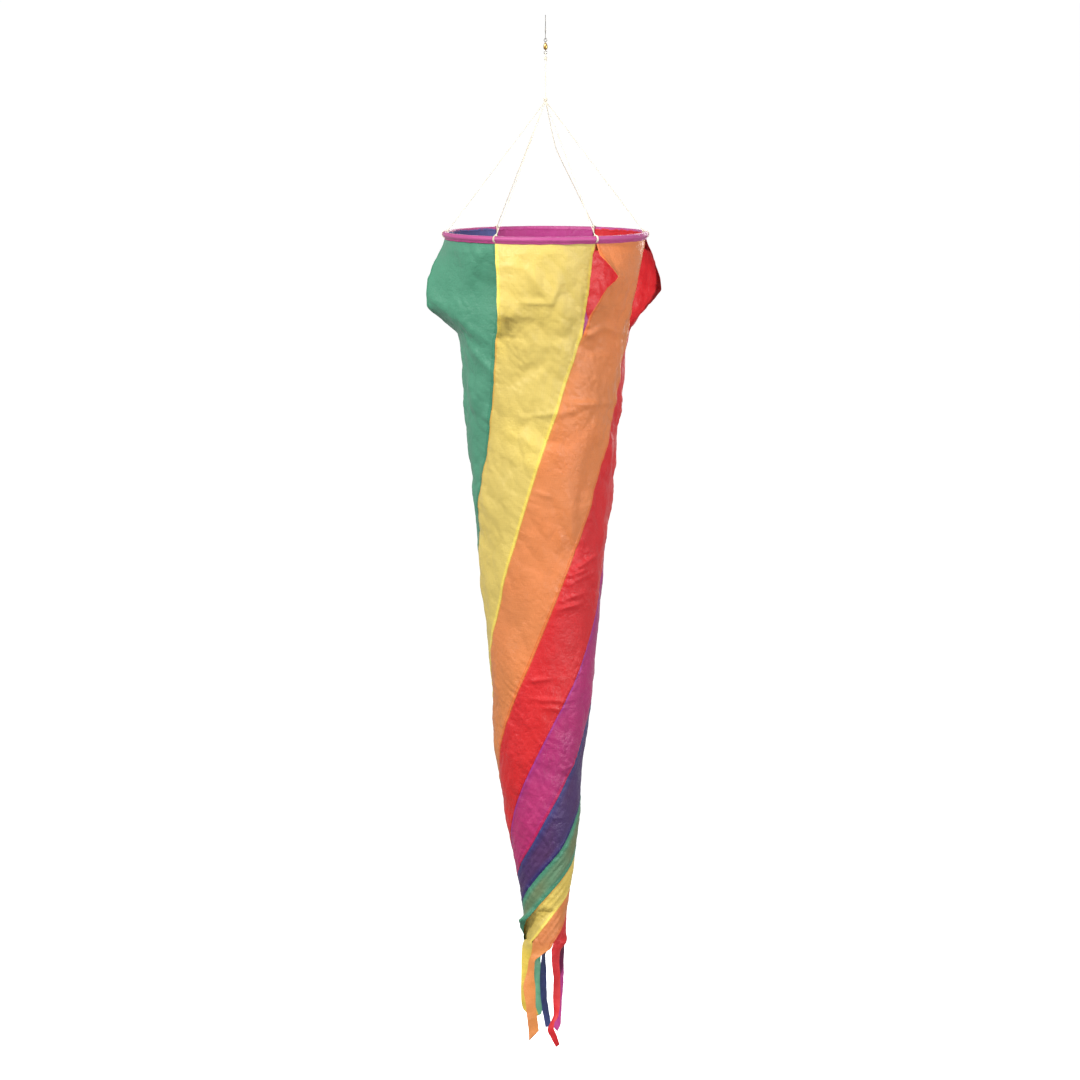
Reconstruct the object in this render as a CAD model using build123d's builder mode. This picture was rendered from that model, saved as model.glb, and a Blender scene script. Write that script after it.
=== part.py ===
"""Hanging turbine windsock: a fabric cone of six spiral panels on a hoop, held by six bridle
lines under a ball-bearing swivel and a wire snap.

Frame: millimetres, +Z up, the origin where the hanger bears inside the snap's top bend.
The sock hangs straight down the -Z axis. Angles are about +Z from +X, so -90 is the front.
"""
import os
from math import cos, degrees, radians, sin, sqrt

from build123d import *

os.makedirs("parts", exist_ok=True)

# ---- driving dimensions ------------------------------------------------------------------
hoop_outer_d = 300.0  # over the hem sleeve
sleeve_d = 7.6  # hem sleeve around the rod
sleeve_wall = 0.6
rod_d = 4.0  # fibreglass rod
ferrule_d = 6.0  # tube that joins the rod's ends
ferrule_length = 40.0

hoop_z = -318.0  # hoop plane
vent_height = 143.0  # from the hoop to where the panels are sewn together
join_radius = 123.0  # radius where the sewn part starts
# depth below the hoop and radius of the sewn part, from its top to its foot
profile = [
    (143, 123.0), (247, 113.5), (350, 103.5), (446, 93.5), (531, 85.5), (607, 78.0),
    (695, 70.0), (770, 62.3), (857, 51.0), (910, 43.6), (967, 35.2), (1000, 31.0), (1036, 30.0),
]
seam_circle = 29.0  # radius of the circle that the straight-cut seams stay outside of
steepest_sine = 0.64  # of a seam's angle from vertical
twist_at_join = 3.0  # degrees
vent_lift_turn = 32.0  # direction of a vent's lift: degrees from radial, towards its panel
cloth = 0.8  # modelled cloth thickness
top_gap = 1.5  # from a panel's edge to the bridle line's loop plane at the hoop
seam_gap = 0.12  # half the gap along a seam
sewn_steps = 30

tail_width = 13.0
tail_length = 150.0
tail_shoulder = 18.0  # height over which the panel's foot narrows to the tail

cord_d = 1.2
bridle_knot_z = -124.0
bridle_knot_d = 5.4
leader_knot_z = -61.5
hitch_d = 1.9  # cord of the loop tied round the hem sleeve

snap_length = 36.0
snap_wire_d = 1.0
snap_top_r = 3.2  # bend radii, to the middle of the wire
snap_foot_r = 2.2
ring_wire_d = 1.0
ring_r = 2.1  # swivel eye, to the middle of its wire
barrel_d = 6.2
barrel_h = 10.2

# how far each panel's free edge stands off, against the share of the way down its vent
vent_lifts = {
    "green": [(0, 0), (0.43, 42), (0.58, 46.5), (0.725, 50), (1, 0)],
    "yellow": [(0, 0), (0.35, 24), (0.6, 38), (0.77, 42), (0.88, 24), (1, 0)],
    "orange": [(0, 0), (0.17, 10), (0.22, 16.5), (0.4, 47), (0.63, 20.5), (0.82, 7), (1, 0)],
    "red": [(0, 0), (0.22, 17), (0.44, 36.5), (0.57, 44.5), (0.66, 33.5), (0.85, 12.5), (1, 0)],
    "purple": [(0, 0), (0.3, 26), (0.48, 42), (0.7, 28), (1, 0)],
    "blue": [(0, 0), (0.4, 36), (0.62, 46), (0.8, 30), (1, 0)],
}
vent_stations = [0.0, 0.11, 0.22, 0.32, 0.42, 0.5, 0.58, 0.66, 0.76, 0.88, 1.0]
colours = list(vent_lifts)
first_panel_angle = 180.0  # where the green panel's lifted edge meets the hoop
panel_turn = 360.0 / len(colours)

# ---- worked-out sizes --------------------------------------------------------------------
hoop_r = (hoop_outer_d - sleeve_d) / 2
sleeve_r = sleeve_d / 2
join_z = hoop_z - vent_height
foot_z = hoop_z - profile[-1][0]
foot_r = profile[-1][1]
slack = 0.1  # between pieces that bear on each other
snap_top_z = snap_wire_d / 2 - snap_top_r  # centre of the top bend
snap_foot_z = snap_wire_d - snap_length + snap_wire_d / 2 + snap_foot_r
link_z = snap_foot_z - snap_foot_r  # middle of the wire that the swivel hangs on
upper_ring_z = link_z + (snap_wire_d + ring_wire_d) / 2 + slack - ring_r
barrel_top_z = upper_ring_z - ring_r - 1.9
barrel_foot_z = barrel_top_z - barrel_h
lower_ring_z = barrel_foot_z - 1.8 - ring_r
leader_pivot_z = lower_ring_z - ring_r
leader_arc_r = (ring_wire_d + cord_d) / 2 + slack


def polar(radius, angle):
    """A point in the XY plane."""
    return Vector(radius * cos(radians(angle)), radius * sin(radians(angle)))


def save(part, label):
    part.label = label
    export_step(part, f"parts/{label}.step")
    return part


# ---- the sock's shape --------------------------------------------------------------------
def between(table, x):
    """The value at x of a table of (x, value) rows, in line between its rows."""
    for (x_above, above), (x_below, below) in zip(table, table[1:]):
        if x <= x_below:
            return above + (below - above) * (x - x_above) / (x_below - x_above)
    return table[-1][1]


def seam_rate(depth):
    """Degrees that a seam turns per millimetre of depth, as a straight cut does on a cone."""
    radius = between(profile, depth)
    sine = min(seam_circle / radius, steepest_sine)
    return degrees(sine / sqrt(1 - sine**2) / radius)


def seam_stations():
    """Depth, radius and clockwise turn of each cloth section from the join to the foot."""
    top, foot = profile[0][0], profile[-1][0]
    turn, depth, stations = twist_at_join, top, []
    for step in range(1, sewn_steps + 1):
        below = top + (foot - top) * (step / sewn_steps) ** 0.75  # closer where the turn is quick
        turn += (below - depth) * seam_rate((depth + below) / 2)
        depth = below
        stations.append((depth, between(profile, depth), turn))
    return stations


def cloth_band(left, right, arc_length, edge_gap):
    """Outline of a band of cloth from left to right, bowed outwards to arc_length."""
    along = (right - left).normalized()
    outward = Vector(along.Y, -along.X)
    a, b = left + along * edge_gap, right - along * edge_gap
    chord = (b - a).length
    bow = sqrt(max(3 * chord * (arc_length - 2 * edge_gap - chord) / 8, 0.25))
    peak = (a + b) / 2 + outward * bow
    lean = 4 * bow / chord  # slope of the band at its ends
    in_a = a - (outward - along * lean).normalized() * cloth
    in_b = b - (outward + along * lean).normalized() * cloth
    return (a, peak, b), (in_b, peak - outward * cloth, in_a)


def vent_bands(colour, angle):
    """The bands from the hoop to the join: the left edge is lifted, the right edge is straight."""
    top = sleeve_r + 0.1
    bands = []
    for s in vent_stations:
        radius = hoop_r + (join_radius - hoop_r) * s
        turned = angle - twist_at_join * s
        lift = polar(between(vent_lifts[colour], s), turned + vent_lift_turn)
        left = polar(radius, turned) + lift
        right = polar(radius, turned + panel_turn)
        gap = top_gap + (seam_gap - top_gap) * s
        z = hoop_z - top - s * (vent_height - top)
        bands.append((z, cloth_band(left, right, radians(panel_turn) * radius, gap)))
    return bands


def sewn_bands(angle):
    """The bands from the join to the foot, turning as they go down."""
    bands = []
    for depth, radius, turn in stations:
        left = polar(radius, angle - turn)
        right = polar(radius, angle - turn + panel_turn)
        band = cloth_band(left, right, radians(panel_turn) * radius, seam_gap)
        bands.append((hoop_z - depth, band))
    return bands


def panel(colour, angle):
    """One spiral panel, in lengths. Its left edge is the vent's lifted edge, its right hangs."""
    bands = vent_bands(colour, angle) + sewn_bands(angle)
    for name, first, last in lengths:
        with BuildPart() as made:
            for z, (outer, inner) in bands[first : last + 1]:
                with BuildSketch(Plane.XY.offset(z)):
                    with BuildLine():
                        ThreePointArc(*outer)
                        Line(outer[2], inner[0])
                        ThreePointArc(*inner)
                        Line(inner[2], outer[0])
                    make_face()
            loft(ruled=True)
        save(made.part, f"{name}_{colour}")
        print(f"{name}_{colour}: {made.part.volume:.0f} mm3, valid {made.part.is_valid}")


def tail(colour, angle):
    """The panel's foot below the last seam: a sloping edge that runs down to a hanging ribbon."""
    left = polar(foot_r, angle - foot_turn)
    right = polar(foot_r, angle - foot_turn + panel_turn)
    along = (right - left).normalized()
    outward = Vector(along.Y, -along.X)
    pivot_drop, inset, top = 0.7, 1.2, -0.1
    width = (right - left).length
    pivot = (left + right) / 2 - outward * cloth + Vector(0, 0, foot_z - pivot_drop)
    ribbon_right = inset - width / 2 + tail_width
    with BuildPart() as made:
        with BuildSketch(Plane(pivot, x_dir=along, z_dir=outward)):
            with BuildLine():
                Polyline(
                    (ribbon_right, -tail_shoulder),
                    (ribbon_right, -tail_length + 9),
                    (inset - width / 2, -tail_length),
                    (inset - width / 2, top),
                    (width / 2 - inset, top),
                )
                ThreePointArc(
                    (width / 2 - inset, top),
                    (ribbon_right + 0.42 * (width / 2 - ribbon_right), -tail_shoulder * 0.62),
                    (ribbon_right, -tail_shoulder),
                )
            make_face()
        extrude(amount=cloth / 2, both=True)
    save(made.part, f"tail_{colour}")
    return pivot, -along


# ---- hoop --------------------------------------------------------------------------------
def ring_around_z(radius, outer_r, inner_r, label, start=0.0, arc=360.0):
    """A tube or rod bent round the Z axis in the hoop plane."""
    with BuildPart() as made:
        with BuildSketch(Plane.XZ.rotated((0, 0, start))):
            with Locations((radius, hoop_z)):
                Circle(outer_r)
                if inner_r:
                    Circle(inner_r, mode=Mode.SUBTRACT)
        revolve(axis=Axis.Z, revolution_arc=arc)
    return save(made.part, label)


rod_gap = 1.5  # degrees between the rod's two ends, inside the ferrule
ferrule_arc = degrees(ferrule_length / hoop_r)
ferrule_start = 84.0
rod_start = ferrule_start + ferrule_arc / 2 + rod_gap / 2
ring_around_z(hoop_r, rod_d / 2, 0, "hoop_rod", rod_start, 360.0 - rod_gap)
ring_around_z(hoop_r, ferrule_d / 2, rod_d / 2 + slack, "hoop_ferrule", ferrule_start, ferrule_arc)
ring_around_z(hoop_r, sleeve_r, sleeve_r - sleeve_wall, "hem_sleeve")

# ---- panels and tails --------------------------------------------------------------------
stations = seam_stations()
foot_turn = stations[-1][2]
print(f"the seams turn {foot_turn:.1f} degrees from hoop to foot")
# each panel is modelled in lengths, so that each length's collision follows its curve
last_band = len(vent_stations) + sewn_steps - 1
splits = [0, len(vent_stations) + 6, len(vent_stations) + 17, last_band]
lengths = list(zip(["panel_top", "panel_waist", "panel_foot"], splits, splits[1:]))
for name, first, last in lengths[1:]:
    print(f"{name} starts {stations[first - len(vent_stations)][0]:.0f} mm below the hoop")
for number, colour in enumerate(colours):
    angle = first_panel_angle + number * panel_turn
    panel(colour, angle)
    pivot, hinge_axis = tail(colour, angle)
    print(f"  tail hinge at {tuple(pivot)}, axis {tuple(hinge_axis)}")

# ---- bridle ------------------------------------------------------------------------------
apex = Vector(0, 0, bridle_knot_z)
line_names = ["left", "front_left", "front_right", "right", "back_right", "back_left"]
line_start = 3.2  # from the middle of the bridle knot


def bridle_line(name, angle, bend=None):
    """A line from the bridle knot to a loop tied round the hem sleeve, in its own radial plane."""
    tie = polar(hoop_r, angle) + Vector(0, 0, hoop_z)
    corners = [apex, bend, tie] if bend else [apex, tie]
    rise = (corners[-2] - tie).normalized()
    first = corners[0] + (corners[1] - corners[0]).normalized() * line_start
    knot = tie + rise * (sleeve_r + hitch_d)
    route = [first] + corners[1:-1] + [knot]
    with BuildPart() as made:
        with BuildLine() as run_path:
            if bend:
                turn = radians((route[1] - route[0]).get_angle(route[2] - route[1]))
                FilletPolyline(*route, radius=bend_run / sin(turn / 2) * cos(turn / 2))
            else:
                Line(*route)
        with BuildSketch(run_path.line ^ 0):
            Circle(cord_d / 2)
        sweep(path=run_path.line)
        with BuildSketch(Plane(tie, x_dir=rise, z_dir=rise.cross(polar(1, angle + 90)))):
            with Locations((sleeve_r + slack + hitch_d / 2, 0)):
                Circle(hitch_d / 2)
        revolve(axis=Axis(tie, polar(1, angle + 90)))
        with Locations(knot):
            Sphere(hitch_d * 0.85)
    return save(made.part, f"bridle_line_{name}")


slack_line = "back_right"  # hangs a little slack, with a soft bend near its top
slack_bend = Vector(14.3, 34.0, -194.0)
bend_run = 25.0  # how far the bend reaches each way
for number, name in enumerate(line_names):
    angle = first_panel_angle + number * panel_turn
    made_line = bridle_line(name, angle, slack_bend if name == slack_line else None)
    print(f"bridle_line_{name}: {made_line.volume:.1f} mm3, valid {made_line.is_valid}")

with BuildPart() as bridle_knot:
    with BuildSketch(Plane.XZ):
        with BuildLine():
            Line((0, bridle_knot_z - 2.4), (0, bridle_knot_z + 4.2))
            Spline(
                (0, bridle_knot_z + 4.2),
                (bridle_knot_d / 2 - 0.3, bridle_knot_z + 1.4),
                (0, bridle_knot_z - 2.4),
                tangents=[(1, 0), (-1, 0)],
            )
        make_face()
    revolve(axis=Axis.Z)
save(bridle_knot.part, "bridle_knot")

# ---- leader: a loop of cord from the bridle knot round the swivel's lower eye -------------
leader_foot = bridle_knot_z + 4.4
with BuildPart() as leader_loop:
    with BuildLine(Plane.YZ) as leader_path:
        Line((-leader_arc_r, leader_foot), (-leader_arc_r, leader_pivot_z))
        ThreePointArc(
            (-leader_arc_r, leader_pivot_z),
            (0, leader_pivot_z + leader_arc_r),
            (leader_arc_r, leader_pivot_z),
        )
        Line((leader_arc_r, leader_pivot_z), (leader_arc_r, leader_foot))
    with BuildSketch(leader_path.line ^ 0):
        Circle(cord_d / 2)
    sweep(path=leader_path.line)
save(leader_loop.part, "leader_loop")

with BuildPart() as leader_knot:
    with Locations((0, 0, leader_knot_z)):
        Cylinder(cord_d * 1.9, 5.0)
        with Locations((0, leader_arc_r, 0), (0, -leader_arc_r, 0)):
            Cylinder(cord_d / 2 + 0.02, 5.0, mode=Mode.SUBTRACT)
    fillet(leader_knot.faces().sort_by(Axis.Z)[-1].outer_wire().edges(), 0.5)
    fillet(leader_knot.faces().sort_by(Axis.Z)[0].outer_wire().edges(), 0.5)
save(leader_knot.part, "leader_knot")

# ---- swivel ------------------------------------------------------------------------------
hang_down = (Align.CENTER, Align.CENTER, Align.MAX)
stand_up = (Align.CENTER, Align.CENTER, Align.MIN)
stem_r = 0.6
head_r = 1.9
head_h = 0.9
cavity_r = 2.1
ball_d = 0.9
ball_count = 8
cavity_foot_z = barrel_foot_z + 1.6
ball_z = cavity_foot_z + ball_d / 2 + 0.01
head_foot_z = cavity_foot_z + ball_d + 0.03
cavity_top_z = head_foot_z + head_h + 0.25

with BuildPart() as swivel_barrel:
    with BuildSketch(Plane.XZ):
        with BuildLine():
            Line((0, barrel_foot_z), (1.35, barrel_foot_z))
            Spline(
                (1.35, barrel_foot_z),
                (barrel_d / 2, (barrel_top_z + barrel_foot_z) / 2 - 0.4),
                (1.25, barrel_top_z),
                tangents=[(1.2, 0.8), (-0.6, 1)],
            )
            Line((1.25, barrel_top_z), (0, barrel_top_z))
            Line((0, barrel_top_z), (0, barrel_foot_z))
        make_face()
    revolve(axis=Axis.Z)
    bore_h = barrel_h + 1
    with Locations((0, 0, (barrel_top_z + barrel_foot_z) / 2)):
        Cylinder(stem_r + 0.04, bore_h, mode=Mode.SUBTRACT)
    with Locations((0, 0, (cavity_top_z + cavity_foot_z) / 2)):
        Cylinder(cavity_r, cavity_top_z - cavity_foot_z, mode=Mode.SUBTRACT)
save(swivel_barrel.part, "swivel_barrel")

with BuildPart() as swivel_balls:
    with Locations((0, 0, ball_z)):
        with PolarLocations(1.25, ball_count):
            Sphere(ball_d / 2)
save(swivel_balls.part, "swivel_balls")


with BuildPart() as swivel_upper_eye:
    with BuildSketch(Plane.XY.offset(upper_ring_z)):
        with Locations((ring_r, 0)):
            Circle(ring_wire_d / 2)
    revolve(axis=Axis((0, 0, upper_ring_z), (0, 1, 0)))
    with Locations((0, 0, upper_ring_z - ring_r)):
        Cylinder(stem_r, upper_ring_z - ring_r - cavity_top_z - 0.1, align=hang_down)
    with Locations((0, 0, barrel_top_z + 0.05)):
        Cylinder(1.1, 0.7, align=stand_up)  # collar swaged over the barrel's mouth
save(swivel_upper_eye.part, "swivel_upper_eye")

with BuildPart() as swivel_lower_eye:
    with BuildSketch(Plane.XY.offset(lower_ring_z)):
        with Locations((ring_r, 0)):
            Circle(ring_wire_d / 2)
    revolve(axis=Axis((0, 0, lower_ring_z), (0, 1, 0)))
    with Locations((0, 0, lower_ring_z + ring_r)):
        Cylinder(stem_r, head_foot_z - lower_ring_z - ring_r, align=stand_up)
    with Locations((0, 0, head_foot_z)):
        Cylinder(head_r, head_h, align=stand_up)  # head that runs on the balls
save(swivel_lower_eye.part, "swivel_lower_eye")

# ---- snap: a wire frame, a springy leg and the plate that locks the leg's foot ------------
plate_top_z = snap_top_z - 14.5
plate_split_z = plate_top_z - 4.2  # the leg's foot sits above, the frame's end below
plate_foot_z = plate_top_z - 7.0
plate_r = 0.85  # outside of the plate's rolled edges
plate_sheet = 0.3
latch_pivot_z = snap_top_z - snap_wire_d / 2 - 0.05

with BuildPart() as snap_frame:
    with BuildLine(Plane.YZ) as frame_path:
        frame_end = (snap_foot_r, plate_split_z - 0.2)
        Line(frame_end, (snap_foot_r, snap_foot_z))
        ThreePointArc((snap_foot_r, snap_foot_z), (0, link_z), (-snap_foot_r, snap_foot_z))
        Line((-snap_foot_r, snap_foot_z), (-snap_foot_r, plate_top_z))
        Spline(
            (-snap_foot_r, plate_top_z),
            (-snap_top_r, snap_top_z - 5.0),
            tangents=[(0, 1), (0, 1)],
        )
        Line((-snap_top_r, snap_top_z - 5.0), (-snap_top_r, snap_top_z))
        ThreePointArc(
            (-snap_top_r, snap_top_z), (0, snap_top_z + snap_top_r), (snap_top_r, snap_top_z)
        )
    with BuildSketch(frame_path.line ^ 0):
        Circle(snap_wire_d / 2)
    sweep(path=frame_path.line)
save(snap_frame.part, "snap_frame")

with BuildPart() as snap_latch:
    with BuildLine(Plane.YZ) as latch_path:
        Line((snap_top_r, latch_pivot_z), (snap_top_r, snap_top_z - 5.0))
        Spline(
            (snap_top_r, snap_top_z - 5.0),
            (snap_foot_r, plate_top_z),
            tangents=[(0, -1), (0, -1)],
        )
        Line((snap_foot_r, plate_top_z), (snap_foot_r, plate_split_z + 0.2))
    with BuildSketch(latch_path.line ^ 0):
        Circle(snap_wire_d / 2)
    sweep(path=latch_path.line)
    with Locations((0, snap_top_r, latch_pivot_z)):
        Sphere(snap_wire_d / 2)
save(snap_latch.part, "snap_latch")

with BuildPart() as snap_plate:
    with BuildSketch(Plane.XY.offset(plate_foot_z)):
        with Locations((0, -snap_foot_r)):
            Circle(plate_r)  # rolled right round the frame's long leg
        with Locations((-plate_r + plate_sheet / 2, 0)):
            Rectangle(plate_sheet, 2 * snap_foot_r)
        with Locations((0, snap_foot_r)):
            Circle(plate_r)  # lip that the springy leg bears against
        with Locations((0, snap_foot_r - plate_r), (plate_r / 2, snap_foot_r - plate_r / 2)):
            Rectangle(2 * (plate_r - plate_sheet), 2 * plate_r, mode=Mode.SUBTRACT)
        with Locations((0, -snap_foot_r), (0, snap_foot_r)):
            Circle(plate_r - plate_sheet, mode=Mode.SUBTRACT)
    extrude(amount=plate_top_z - plate_foot_z)
save(snap_plate.part, "snap_plate")
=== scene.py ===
"""Looks of the hanging turbine windsock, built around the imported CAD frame. Metres, +Z up."""
import math

import bpy
import numpy as np
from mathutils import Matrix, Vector


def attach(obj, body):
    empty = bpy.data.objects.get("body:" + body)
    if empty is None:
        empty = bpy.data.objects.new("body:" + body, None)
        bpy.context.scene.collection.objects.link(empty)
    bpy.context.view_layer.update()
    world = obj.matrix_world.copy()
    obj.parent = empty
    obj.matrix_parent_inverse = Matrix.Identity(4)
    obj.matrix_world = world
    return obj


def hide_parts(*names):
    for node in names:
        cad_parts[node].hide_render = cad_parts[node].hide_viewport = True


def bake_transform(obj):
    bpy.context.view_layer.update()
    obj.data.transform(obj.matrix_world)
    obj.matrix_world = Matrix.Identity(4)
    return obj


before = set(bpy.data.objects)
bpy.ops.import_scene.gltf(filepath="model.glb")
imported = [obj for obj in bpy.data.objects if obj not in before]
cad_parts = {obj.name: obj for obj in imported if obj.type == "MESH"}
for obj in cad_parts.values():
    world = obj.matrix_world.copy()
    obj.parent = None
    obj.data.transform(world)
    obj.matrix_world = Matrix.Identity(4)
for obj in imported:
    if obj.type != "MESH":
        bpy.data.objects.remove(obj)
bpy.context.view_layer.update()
MM = 0.001
scene = bpy.context.scene
scene.view_settings.view_transform = "Standard"


def put_in_scene(name, data):
    """A new object of this data, linked to the scene."""
    made = bpy.data.objects.new(name, data)
    scene.collection.objects.link(made)
    return made


# ---- camera ----
CAMERA_PLACE = (-0.008, -14.0, 0.4647)
CAMERA_DOWN = 5.022  # degrees below level
FOCAL_LENGTH, SENSOR_WIDTH = 320.6, 36.0


def add_camera():
    data = bpy.data.cameras.new("camera")
    data.sensor_width = SENSOR_WIDTH
    data.lens = FOCAL_LENGTH
    data.clip_start, data.clip_end = 0.1, 400.0
    camera = put_in_scene("camera", data)
    camera.location = CAMERA_PLACE
    camera.rotation_euler = (math.radians(90.0 - CAMERA_DOWN), 0.0, 0.0)
    scene.camera = camera


add_camera()

# ---- sizes in millimetres ----
# as in the CAD source, but for a sock radius up to 1.6 mm smaller above and larger below
HOOP_R, HOOP_Z, SLEEVE_R = 146.2, -318.0, 3.8
# depths below the hoop: top of a vent, where it ends and the seams begin, and the sock's foot
VENT_TOP, JOIN, FOOT = 3.9, 143.0, 1036.0
JOIN_TWIST, PANEL_TURN = 3.0, 60.0  # degrees
# the sock's radius at depths below the hoop
RADII = [
    (0, 146.2), (70, 134.2), (143, 123.0), (247, 112.0), (350, 101.9), (446, 92.3),
    (531, 84.6), (607, 77.5), (695, 70.0), (770, 63.0), (857, 52.6), (910, 44.4),
    (967, 35.2), (1000, 31.0), (1036, 30.0),
]
# how far the lifted left edge of each vent stands off: (share of the way down, millimetres)
VENT_LIFTS = {
    "green": [(0, 0), (0.43, 42), (0.58, 46.5), (0.725, 50), (1, 0)],
    "yellow": [(0, 0), (0.35, 24), (0.6, 38), (0.77, 42), (0.88, 24), (1, 0)],
    "orange": [(0, 0), (0.13, 9), (0.17, 15.5), (0.36, 49), (0.6, 21), (0.79, 7.5), (1, 0)],
    "red": [(0, 0), (0.22, 17), (0.44, 36.5), (0.57, 44.5), (0.66, 33.5), (0.85, 12.5), (1, 0)],
    "purple": [(0, 0), (0.3, 26), (0.48, 42), (0.7, 28), (1, 0)],
    "blue": [(0, 0), (0.4, 36), (0.62, 46), (0.8, 30), (1, 0)],
}
COLOURS = list(VENT_LIFTS)
# the hanging sock turns, in degrees, and sways along X, in millimetres, off its pattern:
# rows of (depth, value)
SLACK_TURN = [
    (0, 0), (143, 1), (257, 2.5), (316, 4), (433, 5.8), (500, 7.6), (600, 9), (800, 10.5),
    (842, 9), (905, 2.5), (930, 4.5), (960, 7), (989, 9), (1036, 5),
]
SWAY = [
    (0, 0), (90, -0.5), (150, -2.3), (230, -4.0), (520, -4.4), (620, -4.4), (730, -7.0),
    (850, -4.4), (960, -1.0), (1036, -0.8),
]
# how far a panel's left seam sits from its even place, degrees
SEAM_SHIFTS = {
    "yellow": [(0, 0), (143, 1.0), (230, 6.0), (420, 7.5), (620, 6.5), (860, 0), (1036, 0)],
}
APEX_Z = -124.0  # where the six lines meet
CORD_D = 1.2


# ---- small tools ----
def polar(radius, degrees, z=0.0):
    a = math.radians(degrees)
    return Vector((radius * math.cos(a), radius * math.sin(a), z))


def smooth_table(table, x):
    """Value at x of (x, value) rows, along a smooth curve that doesn't overshoot the rows."""
    rows = np.array(table, float)
    xs, ys = rows[:, 0], rows[:, 1]
    h, rise = np.diff(xs), np.diff(ys) / np.diff(xs)
    slope = np.zeros(len(xs))
    slope[0], slope[-1] = rise[0], rise[-1]
    same = rise[:-1] * rise[1:] > 0
    w1, w2 = 2 * h[1:] + h[:-1], h[1:] + 2 * h[:-1]
    with np.errstate(divide="ignore", invalid="ignore"):
        mean = (w1 + w2) / (w1 / rise[:-1] + w2 / rise[1:])
    slope[1:-1] = np.where(same, mean, 0.0)
    x = np.clip(np.asarray(x, float), xs[0], xs[-1])
    i = np.clip(np.searchsorted(xs, x) - 1, 0, len(h) - 1)
    t = (x - xs[i]) / h[i]
    return (
        ys[i] * (1 + 2 * t) * (1 - t) ** 2
        + slope[i] * h[i] * t * (1 - t) ** 2
        + ys[i + 1] * t * t * (3 - 2 * t)
        + slope[i + 1] * h[i] * t * t * (t - 1)
    )


def step(x, low, high):
    """0 below low, 1 above high, smooth between."""
    t = np.clip((x - low) / (high - low), 0, 1)
    return t * t * (3 - 2 * t)


def unit(vectors):
    return vectors / np.maximum(np.linalg.norm(vectors, axis=-1, keepdims=True), 1e-9)


def lattice(ix, iy, iz, seed):
    """A fixed pseudo-random number from 0 to 1 for every point of a whole-number grid."""
    h = (ix * 374761393 + iy * 668265263 + iz * 2147483647 + seed * 1274126177) & 0xFFFFFFFF
    h = ((h ^ (h >> 13)) * 1103515245) & 0xFFFFFFFF
    return ((h ^ (h >> 16)) & 0xFFFF).astype(float) / 65535.0


def noise(x, y, z, seed):
    """Gradient noise, about -1 to 1, at lattice spacing 1."""
    x, y, z = np.broadcast_arrays(x, y, z)
    cell = [np.floor(v).astype(np.int64) for v in (x, y, z)]
    f = [v - c for v, c in zip((x, y, z), cell)]
    fade = [v * v * v * (v * (v * 6 - 15) + 10) for v in f]
    total = np.zeros(x.shape)
    for dx in (0, 1):
        for dy in (0, 1):
            for dz in (0, 1):
                h = lattice(cell[0] + dx, cell[1] + dy, cell[2] + dz, seed)
                a, up = h * 2 * np.pi * 7.0, ((h * 53.0) % 1.0) * 2 - 1
                level = np.sqrt(1 - up * up)
                dot = (
                    np.cos(a) * level * (f[0] - dx)
                    + np.sin(a) * level * (f[1] - dy)
                    + up * (f[2] - dz)
                )
                w = (fade[0] if dx else 1 - fade[0]) * (fade[1] if dy else 1 - fade[1])
                total += dot * w * (fade[2] if dz else 1 - fade[2])
    return total * 1.6


def facets(x, y, z, seed):
    """Distance to the nearest of scattered points, about 0 to 1: cones that meet in creases."""
    x, y, z = np.broadcast_arrays(x, y, z)
    cell = [np.floor(v).astype(np.int64) for v in (x, y, z)]
    nearest = np.full(x.shape, 9.0)
    for shift in np.ndindex(3, 3, 3):
        at = [c + s - 1 for c, s in zip(cell, shift)]
        off = [c + lattice(*at, seed + k) - v for k, (c, v) in enumerate(zip(at, (x, y, z)))]
        nearest = np.minimum(nearest, sum(o * o for o in off))
    return np.sqrt(nearest + 0.006)


def add_mesh(name, points, faces, attributes=None):
    """A smooth-shaded mesh object from points in millimetres."""
    mesh = bpy.data.meshes.new(name)
    points = np.asarray(points, float) * MM
    faces = np.asarray(faces, np.int64)
    mesh.vertices.add(len(points))
    mesh.vertices.foreach_set("co", points.astype(np.float32).ravel())
    mesh.loops.add(faces.size)
    mesh.loops.foreach_set("vertex_index", faces.ravel().astype(np.int32))
    mesh.polygons.add(len(faces))
    mesh.polygons.foreach_set("loop_start", np.arange(0, faces.size, 4, dtype=np.int32))
    mesh.polygons.foreach_set("use_smooth", np.ones(len(faces), bool))
    mesh.update(calc_edges=True)
    for key, values in (attributes or {}).items():
        values = np.asarray(values, np.float32)
        kind, field = ("FLOAT_VECTOR", "vector") if values.ndim == 2 else ("FLOAT", "value")
        mesh.attributes.new(key, kind, "POINT").data.foreach_set(field, values.ravel())
    mesh.validate()
    return put_in_scene(name, mesh)


def grid_faces(rows, columns, wrap_rows=False, wrap_columns=False):
    """Quads of a grid of points that are numbered row by row."""
    i = np.arange(rows if wrap_rows else rows - 1)[:, None]
    j = np.arange(columns if wrap_columns else columns - 1)[None, :]
    i2, j2 = (i + 1) % rows, (j + 1) % columns
    a, b, c, d = i * columns + j, i2 * columns + j, i2 * columns + j2, i * columns + j2
    return np.stack([a, b, c, d], axis=-1).reshape(-1, 4)


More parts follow.
